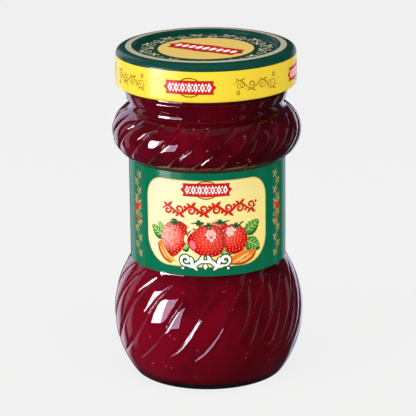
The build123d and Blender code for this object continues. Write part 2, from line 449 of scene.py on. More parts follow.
def fade(share):
    """Depth along a bulb, from nothing at its ends to full over its middle."""
    return np.minimum(1, 1.3 * np.sin(np.pi * np.clip(share, 0, 1)))


print("cut at a valley, beside it and half way:", [round(float(valley(share)), 3) for share in (0, 0.1, 0.25)])

# %% [markdown]
# The slant is a turn in degrees for each height. It is worked out for the whole wall, inside as well, so
# that no face is sheared, and only the outer points of the bulbs move inwards. A line half way through the
# wall tells the outer points from the inner ones.

# %% Spinning the glass and pressing in the flutes
FLUTE_START = 10.0
LOW_PLACE, LOW_SLANT, LOW_CURL = -81.7, 0.92, 0.00165
LOW_PLACE_HEIGHT = 28.6
HIGH_PLACE, HIGH_SLANT = -68.1, 1.7
CROWDING = 0.58
MID_WALL_HEIGHTS = [6, 24.3, 45, 48, 88, 91, 98, 105, 110]
MID_WALL_RADII = [29, 36, 29.3, 29, 29, 29.3, 35.4, 29.3, 29]


def points_of(piece):
    """The places of a piece's points in mm, one row each."""
    places = np.empty(len(piece.data.vertices) * 3)
    piece.data.vertices.foreach_get("co", places)
    return places.reshape(-1, 3) / MM


def press_flutes(piece):
    """Turns the columns to follow the flutes, crowds them at the valleys and moves those inwards."""
    places = points_of(piece)
    radius = np.hypot(places[:, 0], places[:, 1])
    height = places[:, 2]
    angle = np.degrees(np.arctan2(places[:, 1], places[:, 0]))
    low_rise = np.clip(height, FLUTE_START, LOW_CREASE) - LOW_PLACE_HEIGHT
    low_turn = LOW_PLACE + LOW_SLANT * low_rise + LOW_CURL * low_rise**3
    high_rise = np.clip(height, HIGH_CREASE, NECK_FOOT) - HIGH_MIDDLE[1]
    high_turn = HIGH_PLACE + HIGH_SLANT * high_rise
    climb = np.clip((height - LOW_CREASE) / (HIGH_CREASE - LOW_CREASE), 0, 1)
    turn = low_turn + (high_turn - low_turn) * climb
    pitch = 360 / FLUTES
    share = ((angle / pitch + 0.5) % 1) - 0.5
    crowd = (1 - CROWDING) * share + CROWDING * np.sign(share) * 2 * share**2
    low_fade = fade((height - FLUTE_START) / (LOW_CREASE - FLUTE_START)) * LOW_DEPTH
    high_fade = fade((height - HIGH_CREASE) / (NECK_FOOT - HIGH_CREASE)) * HIGH_DEPTH
    depth = np.where(height < LOW_CREASE, low_fade, np.where(height > HIGH_CREASE, high_fade, 0))
    depth = np.where((height < FLUTE_START) | (height > NECK_FOOT), 0, depth)
    outside = radius > np.interp(height, MID_WALL_HEIGHTS, MID_WALL_RADII)
    new_angle = np.floor(angle / pitch + 0.5) * pitch + crowd * pitch + turn
    new_radius = np.where(outside, radius - depth * valley(crowd), radius)
    places[:, 0] = new_radius * np.cos(np.radians(new_angle))
    places[:, 1] = new_radius * np.sin(np.radians(new_angle))
    piece.data.vertices.foreach_set("co", (places * MM).ravel())
    piece.data.update()
    print("flutes pressed into", int(outside.sum()), "points")


glass = spun("glass_wall", glass_side, FLUTES * COLUMNS, 70)
press_flutes(glass)

# %% [markdown]
# Clear jar glass bends light at 1.48 and is very slightly blue. True refraction would also bend the lamps'
# light on its way to the jam and leave it noisy, so shadow rays pass straight through instead.

# %% Glass finish
glass_finish, wire = fresh("clear_glass")
glassy = {"Base Color": (0.97, 0.97, 0.985, 1), "Roughness": 0.015, "IOR": 1.48, "Transmission Weight": 1.0}
clear = wire.node("ShaderNodeBsdfPrincipled", None, glassy)
open_air = wire.node("ShaderNodeBsdfTransparent", None, {"Color": (0.95, 0.95, 0.96, 1)})
shadow = wire.ray("Shadow")
passed = wire.node("ShaderNodeMixShader", None, {0: shadow, 1: clear, 2: open_air})
wire.node("ShaderNodeOutputMaterial", None, {"Surface": passed})
glass.data.materials.append(glass_finish)
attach(glass, "root")
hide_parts("glass_jar")
print("glass box in mm", [round(side / MM, 2) for side in glass.dimensions])

# %% [markdown]
# The jam fills the glass up to a level under the lid. A surface that just touches the glass would show a
# film of air or flicker, so the jam reaches a hair into the wall. Cooked strawberry jam is nearly black-red
# and cloudy, so it is an opaque deep red with soft clouds, and painted shade makes it darker higher up and
# lighter low down where the jar is wide.

# %% Jam
INTO_WALL = 0.15
JAM_TOP = jam_high[2] / MM
DARK_JAM = (0.066, 0.0005, 0.004)
RICH_JAM = (0.156, 0.0012, 0.008)
jam_side = [(0, FLOOR - INTO_WALL)] + [
    (radius + INTO_WALL, height - (INTO_WALL if height < FLOOR + 2 else 0))
    for radius, height in reversed(inner_floor[:-1])
]
jam_side += [(radius + INTO_WALL, height) for radius, height in reversed(inner_side[:-1])]
jam_side += [(NECK_INNER + INTO_WALL, NECK_FOOT - 0.6), (NECK_INNER + INTO_WALL, JAM_TOP + 0.5)]
jam_side += [(NECK_INNER - 0.8, JAM_TOP), (14, JAM_TOP), (0, JAM_TOP)]
jam = spun("jam_fill", jam_side, 160, 70)

jam_finish, wire = fresh("strawberry_jam")
place = wire.place()
clouds, pulp = place.clouds(60.0, 4.0), place.clouds(260.0, 3.0)
# painted shade: the height term makes the jam darker higher up and lighter low down
share = (clouds - 0.5) * 2.4 + (pulp - 0.5) * 0.9 + 1.15 - place.along("Z") * 10
colour = share.clamped().blend(DARK_JAM, RICH_JAM)
body = {"Base Color": colour, "Roughness": 0.5, "Specular IOR Level": 0.0}
wet = wire.node("ShaderNodeBsdfPrincipled", None, body)
wire.node("ShaderNodeOutputMaterial", None, {"Surface": wet})
jam.data.materials.append(jam_finish)
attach(jam, "root")
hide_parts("jam")

# %% [markdown]
# Small things float against the glass: strawberry seeds, and bubbles that rose while the jam was hot. Many
# of the bubbles gather in a ring under the lid. They could be a pattern in the jam's colour, but real
# grains catch the light, so one rounded grain is modelled and copied, with most of each copy sunk into the
# jam.

# %% Seeds and bubbles
chance = random.Random(7)
jam_line = sorted((height, radius) for radius, height in jam_side if radius > 24)


def scattered(name, spots, material):
    """One modelled grain copied to many places: bearing, height, length, width and tilt of each."""
    alone()
    bpy.ops.mesh.primitive_ico_sphere_add(subdivisions=2, radius=MM)
    piece = bpy.context.object
    piece.name = name
    grain = np.array([point.co[:] for point in piece.data.vertices]) / MM
    faces = [tuple(face.vertices) for face in piece.data.polygons]
    places, corners = [], []
    for bearing, height, long, wide, tilt in spots:
        out = np.interp(height, *zip(*jam_line)) - wide * 0.25
        shaped = grain * (wide, wide, long) / 2
        tilted = shaped @ np.array(Matrix.Rotation(tilt, 3, "X")).T + (out, 0, height)
        placed_grain = tilted @ np.array(Matrix.Rotation(bearing, 3, "Z")).T
        corners += [tuple(corner + len(places) for corner in face) for face in faces]
        places += [tuple(place) for place in placed_grain * MM]
    piece.data.clear_geometry()
    piece.data.from_pydata(places, [], corners)
    bpy.ops.object.shade_smooth()
    piece.data.materials.append(material)
    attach(piece, "root")
    print(name, len(spots), "grains")


def plain_finish(name, colour, rough):
    """A finish for small things, mottled with a darker tone of its colour."""
    material, wire = fresh(name)
    tone = wire.place().clouds(400.0).blend(tuple(part * 0.6 for part in colour), colour)
    body = wire.node("ShaderNodeBsdfPrincipled", None, {"Base Color": tone, "Roughness": rough})
    wire.node("ShaderNodeOutputMaterial", None, {"Surface": body})
    return material


def anywhere(low, high):
    """A bearing and a height between two heights."""
    return chance.uniform(0, 2 * math.pi), chance.uniform(low, high)


SEED_REACHES = ((8, 45), (91, 106))
BUBBLE_REACHES = ((6, 45), (91, 112))
RING_HEIGHT = NECK_FOOT + 4.7
seed_spots = []
for reach in SEED_REACHES:
    seed_spots += [(*anywhere(*reach), 1.0, 0.55, chance.uniform(-2, 2)) for _ in range(45)]
bubble_spots = []
for reach in BUBBLE_REACHES:
    for size in (0.3, 0.4, 0.55):
        bubble_spots += [(*anywhere(*reach), size, size, 0) for _ in range(16)]
for turn in range(180):
    size = chance.choice((0.4, 0.55, 0.75))
    bearing = turn * math.pi / 90 + chance.uniform(-0.02, 0.02)
    bubble_spots.append((bearing, RING_HEIGHT + chance.uniform(-0.35, 0.35), size, size, 0))
scattered("strawberry_seeds", seed_spots, plain_finish("seed_finish", (0.4, 0.06, 0.04), 0.5))
scattered("bubbles", bubble_spots, plain_finish("bubble_finish", (0.62, 0.2, 0.17), 0.3))

# %% [markdown]
# The label is a sleeve of varnished paper, glued round the waist with a lap at the back. A strip could be
# bent round, but a thin closed ring spun like the glass fits it exactly, and its outer face is then raised
# where the paper lies over itself.

# %% Label sleeve
LABEL_FOOT = label_low[2] / MM
LABEL_HEAD = label_high[2] / MM
LABEL = WAIST + 0.15
LAP = 4.5
sleeve_side = [
    (LABEL - 0.12, LABEL_FOOT + 0.02),
    (LABEL - 0.04, LABEL_FOOT),
    (LABEL, LABEL_FOOT + 0.04),
    (LABEL, LABEL_HEAD - 0.04),
    (LABEL - 0.04, LABEL_HEAD),
    (LABEL - 0.12, LABEL_HEAD - 0.02),
    (LABEL - 0.12, LABEL_FOOT + 0.02),
]
sleeve = spun("label_sleeve", sleeve_side, 360)
for point in sleeve.data.vertices:
    away = math.hypot(point.co.x, point.co.y) / MM
    if away > LABEL - 0.05 and point.co.y > 0 and abs(point.co.x) < LAP * MM:
        point.co.x *= (away + 0.11) / away
        point.co.y *= (away + 0.11) / away


# %% [markdown]
# Ink on varnished paper is a flat colour under a soft clear coat. A single gloss value would also whiten
# the ink, so the ink itself has no gloss and the coat has it all. A fine grain keeps the colour from
# looking dead.


# %% Printed paper
def shade(red, green, blue):
    """A colour as a shop's paint card gives it, 0 to 255, turned into the light it reflects."""
    parts = (part / 255 for part in (red, green, blue))
    return tuple(part / 12.92 if part < 0.0405 else ((part + 0.055) / 1.055) ** 2.4 for part in parts)


def varnish(wire, tone, rough=0.5, coat=0.4, coat_rough=0.18, gloss=0.0):
    """Ends a material: its colour under a clear coat."""
    sockets = {"Base Color": tone, "Roughness": rough, "Specular IOR Level": gloss}
    sockets |= {"Coat Weight": coat, "Coat Roughness": coat_rough}
    body = wire.node("ShaderNodeBsdfPrincipled", None, sockets)
    wire.node("ShaderNodeOutputMaterial", None, {"Surface": body})


def coated(name, colour, rough=0.5, coat=0.4, coat_rough=0.18):
    """A material of one colour under a clear coat."""
    material, wire = fresh(name)
    grain = wire.place().clouds(700.0, 3.0)
    varnish(wire, grain.blend(tuple(part * 0.93 for part in colour), colour), rough, coat, coat_rough)
    return material


sleeve.data.materials.append(coated("green_paper", shade(0, 104, 72)))
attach(sleeve, "root")
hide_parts("label")
print("label from", LABEL_FOOT, "to", LABEL_HEAD)

# %% [markdown]
# The print on the label and the lid could be a pattern of nodes, but crisp edges would need a huge bake, so
# it is cut from thin sheets, one for each ink, each a hair above the one under it. The outlines are drawn
# flat: `u` runs along the print and `v` up it, both in mm. The first pens draw a soft outline and a
# tapering stroke.


# %% Soft outlines and pen strokes
def area_of(outline):
    """Twice the area of an outline, below zero where it runs clockwise."""
    return sum(a[0] * b[1] - b[0] * a[1] for a, b in zip(outline, outline[1:] + outline[:1]))


def smooth(points, closed=True, steps=4):
    """Points of a soft curve through the given ones."""
    count = len(points)
    found = []
    for index in range(count if closed else count - 1):
        if closed:
            before, here, there, after = (points[(index + shift) % count] for shift in (-1, 0, 1, 2))
        else:
            before, here = points[max(index - 1, 0)], points[index]
            there, after = points[index + 1], points[min(index + 2, count - 1)]
        for step in range(steps):
            t = step / steps
            point = []
            for a, b, c, d in zip(before, here, there, after):
                bend, twist = 2 * a - 5 * b + 4 * c - d, 3 * b - a - 3 * c + d
                point.append(0.5 * (2 * b + (c - a) * t + bend * t * t + twist * t**3))
            found.append(tuple(point))
    return found if closed else found + [tuple(points[-1])]


def stroke(points, width, ends=0.12, steps=5):
    """The outline of a pen stroke that thins towards both ends."""
    line = np.array(smooth(points, False, steps))
    along = np.gradient(line, axis=0)
    along /= np.hypot(*along.T)[:, None] + 1e-9
    across = np.stack([-along[:, 1], along[:, 0]], 1)
    share = np.linspace(0, 1, len(line))
    half = width / 2 * (ends + (1 - ends) * np.sin(np.pi * share) ** 0.6)[:, None]
    return [tuple(point) for point in np.concatenate([line + across * half, (line - across * half)[::-1]])]


print("a stroke through 3 points has", len(stroke([(0, 0), (2, 1), (4, 0)], 0.5)), "points")

# %% [markdown]
# Old-fashioned jam labels are full of curls, leaves and dots, so each has a pen of its own: a spiral, a
# pointed leaf with or without teeth, an oval and a lozenge.


# %% Curls, leaves and dots
def curl(middle, size, start, turns, steps=14):
    """Points of a spiral that winds in to a middle, its start angle and its turns in degrees."""
    found = []
    for step in range(steps + 1):
        t = step / steps
        angle = math.radians(start + turns * t)
        reach = size * (1 - 0.8 * t)
        found.append((middle[0] + reach * math.cos(angle), middle[1] + reach * math.sin(angle)))
    return found


def leaf(foot, tip, width, teeth=0):
    """A pointed leaf from its foot to its tip, with or without teeth."""
    foot, tip = Vector(foot), Vector(tip)
    along = tip - foot
    across = Vector((-along.y, along.x)).normalized() * width / 2
    sides = []
    for side in (1, -1):
        edge = []
        count = 2 * teeth + 1 if teeth else 5
        for step in range(1, count + 1):
            t = step / (count + 1)
            notch = 1 - 0.3 * (step % 2) if teeth else 1
            edge.append(foot + along * t + across * side * notch * math.sin(math.pi * t**0.8) ** 0.8)
        sides.append(edge)
    return [tuple(point) for point in [foot, *sides[0], tip, *reversed(sides[1])]]


def dot(middle, wide, tall=None, count=8):
    """An oval of a width and a height."""
    tall = wide if tall is None else tall
    turns = [2 * math.pi * step / count for step in range(count)]
    return [(middle[0] + wide / 2 * math.cos(turn), middle[1] + tall / 2 * math.sin(turn)) for turn in turns]


def lozenge(middle, wide, tall):
    """A lozenge of a width and a height."""
    across, up = middle
    out, rise = wide / 2, tall / 2
    return [(across + out, up), (across, up + rise), (across - out, up), (across, up - rise)]


print("a leaf with 5 teeth has", len(leaf((0, 0), (6, 0), 3, 5)), "points")

# %% [markdown]
# A shape that repeats is drawn once and moved, turned or mirrored. Growing an outline gives the dark edge
# that printers lay under a pale shape.


# %% Moving and growing outlines
def placed(outlines, across=0.0, up=0.0, size=1.0, turn=0.0, flip=False):
    """Outlines moved, resized, turned by degrees or mirrored."""
    swing = math.radians(turn)
    moved = []
    for outline in outlines:
        found = []
        for u, v in outline:
            u = -u if flip else u
            found.append(
                (
                    across + size * (u * math.cos(swing) - v * math.sin(swing)),
                    up + size * (u * math.sin(swing) + v * math.cos(swing)),
                )
            )
        moved.append(found)
    return moved


def grown(outlines, margin):
    """Outlines pushed outwards by a margin all round."""
    found = []
    for outline in outlines:
        way = margin if area_of(outline) > 0 else -margin
        wider = []
        for before, here, after in zip(outline[-1:] + outline[:-1], outline, outline[1:] + outline[:1]):
            along = (after[0] - before[0], after[1] - before[1])
            size = math.hypot(*along) or 1
            wider.append((here[0] + along[1] / size * way, here[1] - along[0] / size * way))
        found.append(wider)
    return found


trial = grown([lozenge((0, 0), 2, 2)], 0.5)[0]
print("a lozenge of 2 mm2, grown by 0.5 mm, has", round(area_of(trial) / 2, 2), "mm2")

# %% [markdown]
# A running scroll, a waving stem with a curl in every bend, is the one ornament used all over the jar: as
# the red garland, the gold columns beside the panel, the brown print on the skirt and the ring on the lid.


# %% A running scroll
def running_scroll(length, bends, swing, pen, leaf_long):
    """A waving stem with a curl in every bend and two leaves outside it: its stem, its curls, its leaves."""
    step = length / bends
    parts = [place / 6 for place in range(6 * bends + 1)]
    wave = [(-length / 2 + step * part, swing * math.sin(math.pi * part)) for part in parts]
    curls, leaves = [], []
    for bend in range(bends):
        middle = -length / 2 + (bend + 0.5) * step
        way = 1 if bend % 2 == 0 else -1
        size = step * 0.34
        spiral = curl((middle, way * (swing - size)), size, 90 * way, -430 * way)
        curls.append(stroke(spiral, pen * 0.72, 0.4))
        foot = (middle, way * swing)
        leaves.append(leaf(foot, (middle + 0.46 * step, way * (swing + 0.85 * leaf_long)), leaf_long * 0.55))
        leaves.append(leaf(foot, (middle - 0.36 * step, way * (swing + 0.7 * leaf_long)), leaf_long * 0.45))
        leaves.append(dot((middle + 0.5 * step, -way * 0.95 * swing), pen))
    return [stroke(wave, pen, 0.35, 3)], curls, leaves


print("a scroll of 8 bends has", len(running_scroll(38.0, 8, 1.3, 1.2, 2.2)[2]), "leaves and dots")

# %% [markdown]
# To lay a sheet of ink, its outlines are filled flat, cut into narrow strips so that it can bend, wrapped
# on the label or the lid, and thickened inwards. Bending uncut faces would leave them chordwise inside the
# paper.

# %% Laying a sheet of ink
SHEET_OF_INK = 0.03


def round_label(across, up, lift):
    """From flat artwork to the label: across from its front, up from its foot."""
    angle = across / LABEL
    reach = LABEL + lift
    return reach * np.sin(angle), -reach * np.cos(angle), LABEL_FOOT + up


def inked(name, outlines, material, lift, wrap=round_label, cut=1.4, slot="label_paper"):
    """A thin closed sheet with the given outlines, cut into strips and wrapped on a surface."""
    alone()
    loops = [outline if area_of(outline) > 0 else outline[::-1] for outline in outlines]
    bpy.ops.mesh.primitive_circle_add(vertices=len(loops[0]), radius=MM, fill_type="NGON")
    piece = bpy.context.object
    piece.name = name
    bpy.ops.object.mode_set(mode="EDIT")
    for loop in loops[1:]:
        bpy.ops.mesh.primitive_circle_add(vertices=len(loop), radius=MM, fill_type="NGON")
    bpy.ops.object.mode_set(mode="OBJECT")
    flat = np.array([(u * MM, v * MM, 0) for loop in loops for u, v in loop])
    piece.data.vertices.foreach_set("co", flat.ravel())
    bpy.ops.object.mode_set(mode="EDIT")
    bpy.ops.mesh.select_all(action="SELECT")
    bpy.ops.mesh.quads_convert_to_tris()
    reach = flat[:, 0].min() / MM, flat[:, 0].max() / MM
    for step in range(math.ceil(reach[0] / cut), math.floor(reach[1] / cut) + 1):
        bpy.ops.mesh.select_all(action="SELECT")
        bpy.ops.mesh.bisect(plane_co=(step * cut * MM, 0, 0), plane_no=(1, 0, 0))
    bpy.ops.mesh.select_all(action="SELECT")
    bpy.ops.mesh.remove_doubles(threshold=0.0005 * MM)
    bpy.ops.object.mode_set(mode="OBJECT")
    places = points_of(piece)
    x, y, z = wrap(places[:, 0], places[:, 1], lift)
    piece.data.vertices.foreach_set("co", (np.stack([x, y, z + 0 * x], 1) * MM).ravel())
    bpy.ops.object.modifier_add(type="SOLIDIFY")
    piece.modifiers[-1].thickness = SHEET_OF_INK * MM
    piece.modifiers[-1].offset = -1
    bpy.ops.object.modifier_apply(modifier=piece.modifiers[-1].name)
    bpy.ops.object.shade_smooth_by_angle(angle=math.radians(30))
    piece.data.materials.append(material)
    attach(piece, "root")
    print(name, len(piece.data.polygons), "faces")
    return piece


# %% [markdown]
# The front of the label is a cream panel with soft corners and a gold edge, laid as two sheets so that the
# edge is even all round. Its tone runs from a pale cream at the top left to a warmer yellow on the right,
# partly print and partly a painted highlight of the window on the left. Two plain panels at the back stand
# for the small print there.


# %% Cream panel
def panel(left, right, foot, head, low_corner, high_corner):
    """A rectangle with oval corners: their widths and heights are given for the foot and the head."""
    outline = []
    spots = (
        (right - low_corner[0], foot + low_corner[1], low_corner, 270),
        (right - high_corner[0], head - high_corner[1], high_corner, 0),
        (left + high_corner[0], head - high_corner[1], high_corner, 90),
        (left + low_corner[0], foot + low_corner[1], low_corner, 180),
    )
    for across, up, (wide, tall), start in spots:
        for step in range(13):
            angle = math.radians(start + 90 * step / 12)
            outline.append((across + wide * math.cos(angle), up + tall * math.sin(angle)))
    return outline


gold_edge = coated("gold_edge_ink", shade(222, 200, 120))
cream, wire = fresh("cream_ink")
place = wire.place()
side, height = place.along("X") * (1 / MM), place.along("Z") * (1 / MM)
# painted highlight: the cream is paler towards the top left, partly print and partly the window's highlight
warm = ((side + 24) / 48 - (height - 70) / 120).clamped()
varnish(wire, warm.blend(shade(222, 218, 182), shade(244, 228, 136)))
inked("panel_edge", [panel(-26.1, 24.9, 3.6, 38.1, (10.2, 10.9), (7.3, 8.3))], gold_edge, 0.02)
inked("cream_panel", [panel(-25.7, 24.5, 4.0, 37.7, (9.8, 10.5), (6.9, 7.9))], cream, 0.04)
for side, middle in (("left", -60.5), ("right", 60.5)):
    edge = panel(middle - 13.4, middle + 13.4, 3.6, 37.6, (4.4, 4.4), (4.4, 4.4))
    inked(f"back_panel_edge_{side}", [edge], gold_edge, 0.02)
    inked(f"back_panel_{side}", [panel(middle - 13, middle + 13, 4.0, 37.2, (4, 4), (4, 4))], cream, 0.04)

# %% [markdown]
# A red plaque on an oval is printed on the label, on the lid's skirt and on its top. A jar from a shop
# would carry a name there; this one carries a chain of white lozenges, or a row of beads, and no words.

# %% Plaque
plaque_red = coated("plaque_red_ink", shade(205, 22, 34))
plaque_dark = coated("plaque_edge_ink", shade(128, 20, 22))
plaque_tan = coated("oval_ink", shade(240, 182, 110))
white_ink = coated("white_ink", shade(246, 244, 240))

BAR = [(-9.3, 2.3), (-8.7, 1.1), (-10.0, 0), (-8.7, -1.1), (-9.3, -2.3), (0, -2.4)]
BAR += [(9.3, -2.3), (8.7, -1.1), (10.0, 0), (8.7, 1.1), (9.3, 2.3), (0, 2.4)]
chain = []
chain_hearts = []
for step in range(-3, 4):
    chain.append(lozenge((step * 2.5, 0), 1.9, 3.9 - 0.1 * abs(step)))
    chain_hearts.append(lozenge((step * 2.5, 0), 0.7, 1.7))
    if step < 3:
        chain.append(dot((step * 2.5 + 1.25, 1.1), 0.75))
        chain.append(dot((step * 2.5 + 1.25, -1.1), 0.75))
bead_row = [dot((step * 2.0, 0), 1.45, 3.2 - 0.15 * abs(step), 14) for step in range(-4, 5)]
bead_hearts = [dot((step * 2.0 + 1.0, side), 0.5, 0.9) for step in range(-4, 4) for side in (-1.2, 1.2)]
print("chain of", len(chain), "outlines")


def plaque(name, wrap, across, up, size, turn, slot, lift=0.05, fill=None, beads=False):
    """The oval, the bar and the chain (or a row of beads), laid one over the other."""
    spot = {"across": across, "up": up, "size": size, "turn": turn}
    layers = (
        ("oval_edge", [dot((0, 0), 9.6, 7.6, 40)], plaque_dark),
        ("oval", [dot((0, 0), 8.8, 6.8, 40)], fill or plaque_tan),
        ("bar_edge", grown([BAR], 0.85 if beads else 0.3), plaque_dark),
        ("bar", grown([BAR], 0.25) if beads else [BAR], plaque_red),
        ("chain", bead_row if beads else chain, white_ink),
        ("chain_hearts", bead_hearts if beads else chain_hearts, plaque_red),
    )
    for step, (part, outlines, material) in enumerate(layers):
        inked(f"{name}_{part}", placed(outlines, **spot), material, lift + 0.015 * step, wrap, 1.4, slot)


plaque("label_plaque", round_label, -0.5, 34.4, 0.98, 0, "label_paper")

# %% [markdown]
# Under the plaque, where the fruit would be named, runs a red garland: the running scroll in a heavy pen,
# tilted a little upwards to the right.



# %% Red garland
def laid(name, scroll, spot, ink, lift, rise, *surface):
    """Lays the parts of a scroll, each above the last; {} in the name stands for the part."""
    for step, (part, outlines) in enumerate(zip(("stem", "curls", "leaves", "eyes"), scroll)):
        inked(name.format(part), placed(outlines, *spot), ink, lift + rise * step, *surface)


garland_red = coated("garland_ink", shade(200, 36, 20))
garland = running_scroll(38.0, 8, 1.3, 1.2, 2.2)
laid("garland_{}", garland, (0.7, 26.6, 1, 1.6), garland_red, 0.06, 0.012)

# %% [markdown]
# The picture is a heap of fruit: three berries in front, two behind them, leaves, a blossom and slices. A
# flat red would look like a sticker, so each berry's ink darkens away from its middle and has a painted
# highlight that makes one side pale and speckled, and its seeds are laid in staggered rows by testing which
# spots fall within the outline.


# %% Fruit inks
def berry_ink(name, middle, size, glow, highlight_strength):
    """Berry red that darkens away from a middle, with a painted highlight on one side; places in mm round and
    up the label.
    """
    material, wire = fresh(name)
    place = wire.place()
    round_it = place.along("X").math("ARCTAN2", place.along("Y") * -1) * LABEL - middle[0]
    up = place.along("Z") * (1 / MM) - (LABEL_FOOT + middle[1])
    off = ((round_it * round_it + up * up) ** 0.5) / size
    dusk = ((off - 0.35).clamped() * 1.6).math("MINIMUM", 1)
    fruit = dusk.blend(shade(222, 14, 8), shade(156, 6, 14))
    near = round_it - glow[0]
    over = up - glow[1]
    # painted highlight: a pale speckled patch round the glow point, strongest on the left berry
    halo = (1 - ((near * near + over * over) ** 0.5) / (size * 0.85)).math("MAXIMUM", 0)
    speckle = (place.clouds(1800.0, 1.0) - 0.3).math("MAXIMUM", 0)
    pale = (halo * highlight_strength * speckle * 5).math("MINIMUM", 1)
    varnish(wire, pale.blend(fruit, shade(246, 190, 176)))
    return material


def inside(outline, point):
    """Whether a point lies within an outline."""
    found = False
    for (u, v), (w, x) in zip(outline, outline[1:] + outline[:1]):
        if (v > point[1]) != (x > point[1]) and point[0] < (w - u) * (point[1] - v) / (x - v) + u:
            found = not found
    return found


def seeds_in(outline, gap, skip=None):
    """Seeds in staggered rows within an outline, none within a skipped one."""
    (left, low), (right, high) = np.min(outline, 0), np.max(outline, 0)
    found = []
    row = 0
    up = low + gap * 0.4
    while up < high:
        across = left + (gap / 2 if row % 2 else 0)
        while across < right:
            spot = (across + 0.3 * math.sin(up * 2.1), up + 0.25 * math.sin(across * 1.7))
            rim = [(spot[0] + a, spot[1] + b) for a, b in ((0.5, 0), (-0.5, 0), (0, 0.5), (0, -0.5))]
            if all(inside(outline, edge) for edge in rim) and not (skip and inside(skip, spot)):
                found.append(dot(spot, 0.3, 0.46, 6))
            across += gap
        up += gap * 0.8
        row += 1
    return found


print("a lozenge of 10 by 10 holds", len(seeds_in(lozenge((0, 0), 10, 10), 1.35)), "seeds")

# %% [markdown]
# Everything that isn't a berry takes a flat ink: two greens and a vein colour for the leaves, two browns
# and a straw yellow for the slices. Small print is drawn with few points, since it is only millimetres
# across.

# %% Inks and leaves
leaf_green = coated("leaf_ink", shade(58, 140, 52))
leaf_dark = coated("dark_leaf_ink", shade(20, 92, 44))
vein_ink = coated("vein_ink", shade(196, 222, 130))
blossom_ink = coated("blossom_ink", shade(248, 238, 180))
seed_ink = coated("seed_ink", shade(252, 176, 116))
slice_ink = coated("slice_ink", shade(232, 128, 36))
slice_dark = coated("slice_dark_ink", shade(176, 62, 20))
straw_ink = coated("straw_ink", shade(246, 196, 110))

leaf_shapes = (
    ((-17.6, 14.6), (-23.8, 18.6), 4.4),
    ((-18.2, 16.6), (-20.0, 20.6), 3.0),
    ((14.2, 16.4), (21.2, 20.8), 5.2),
    ((14.6, 13.6), (21.6, 9.6), 6.0),
    ((5.6, 7.8), (8.0, 13.0), 4.6),
    ((-10.2, 10.6), (-7.4, 13.0), 3.0),
)
leaves = [leaf(foot, tip, width, 5) for foot, tip, width in leaf_shapes]
backs = []
veins = []


def vein(foot, tip, *pen):
    """A straight pen stroke from one point to another."""
    return stroke([foot, ((foot[0] + tip[0]) / 2, (foot[1] + tip[1]) / 2), tip], *pen)


for foot, tip, width in leaf_shapes:
    backs.append(leaf((foot[0] + 0.3, foot[1] - 0.5), (tip[0] + 0.2, tip[1] - 0.9), width))
    veins.append(vein(foot, tip, 0.3, 0.3, 3))
    along = (tip[0] - foot[0], tip[1] - foot[1])
    size = math.hypot(*along)
    across = (-along[1] / size, along[0] / size)
    for share in (0.25, 0.45, 0.65):
        for side_way in (-1, 1):
            root = (foot[0] + along[0] * share, foot[1] + along[1] * share)
            end = (
                root[0] + along[0] * 0.2 + across[0] * side_way * width * 0.36,
                root[1] + along[1] * 0.2 + across[1] * side_way * width * 0.36,
            )
            veins.append(vein(root, end, 0.26, 0.4, 2))
inked("leaf_backs", backs, leaf_dark, 0.055)
inked("leaves", leaves, leaf_green, 0.07)
inked("leaf_veins", veins, vein_ink, 0.08)

# %% [markdown]
# The slices lie at the foot of the heap. Each is a soft outline with a darker rind and pale strokes of
# flesh. The stems are laid under the three front berries, the blossom over the outer two of them and under
# the middle one, and the sepals over all.

# %% Slices, blossom and stems
slices = [
    [(-20.2, 12.6), (-18.4, 12.8), (-16.6, 9.4), (-13.4, 6.6), (-14.6, 4.8), (-17.4, 6.0), (-19.6, 9.2)],
    [(8.4, 5.4), (12.6, 8.0), (17.6, 9.6), (19.4, 8.2), (17.4, 5.6), (13.4, 4.4), (9.4, 4.2)],
    [(-1.6, 6.6), (4.0, 7.0), (10.6, 8.2), (15.6, 10.4), (12.0, 6.6), (4.8, 5.4), (-0.6, 5.4)],
]
straws = [
    stroke([(-18.6, 11.8), (-16.8, 8.6), (-14.4, 5.6)], 0.9, 0.3),
    stroke([(-16.6, 9.4), (-14.2, 6.9), (-12.2, 4.6)], 0.8, 0.3),
    stroke([(-19.6, 10.4), (-18.4, 8.4), (-16.6, 6.2)], 0.7, 0.3),
    stroke([(9.6, 5.0), (13.2, 6.6), (16.4, 8.2)], 1.1, 0.3),
    stroke([(12.4, 4.9), (15.2, 5.8), (17.6, 7.4)], 0.8, 0.3),
    stroke([(0.4, 6.3), (6.6, 7.0), (13.6, 9.2)], 0.45, 0.3),
]
rinds = [
    stroke([(8.2, 4.6), (13.4, 4.2), (17.9, 5.8), (19.8, 8.6)], 0.9, 0.3),
    stroke([(-20.6, 12.2), (-19.9, 9.0), (-17.6, 5.9), (-14.6, 4.4)], 0.8, 0.3),
    stroke([(14.2, 5.2), (14.9, 7.0), (15.4, 8.8)], 0.6, 0.3),
]
inked("slices", [smooth(outline) for outline in slices], slice_ink, 0.055)
inked("slice_rinds", rinds, slice_dark, 0.065)
inked("slice_flesh", straws, straw_ink, 0.075)
petals = [
    leaf((-5.6, 19.6), (-8.0, 21.0), 1.5),
    leaf((-5.6, 19.6), (-8.4, 18.2), 1.5),
    leaf((-5.6, 19.6), (-4.4, 22.2), 1.5),
    leaf((-5.6, 19.6), (-3.4, 19.8), 1.4),
    leaf((-8.4, 16.6), (-9.0, 13.2), 1.2),
]
inked("blossom", petals, blossom_ink, 0.105)
stems = [
    stroke([(-4.6, 18.4), (-3.2, 20.2), (-2.6, 21.8)], 0.5),
    stroke([(-6.2, 18.6), (-7.6, 17.0), (-8.4, 15.0)], 0.5),
    stroke([(5.4, 20.2), (6.2, 21.6), (8.6, 22.0)], 0.6),
    stroke([(-14.8, 21.2), (-13.6, 22.3), (-11.8, 22.0)], 0.6),
    stroke([(12.0, 19.6), (13.4, 20.8), (14.2, 20.6)], 0.6),
]
inked("berry_stems", stems, leaf_dark, 0.095)
sepals = []
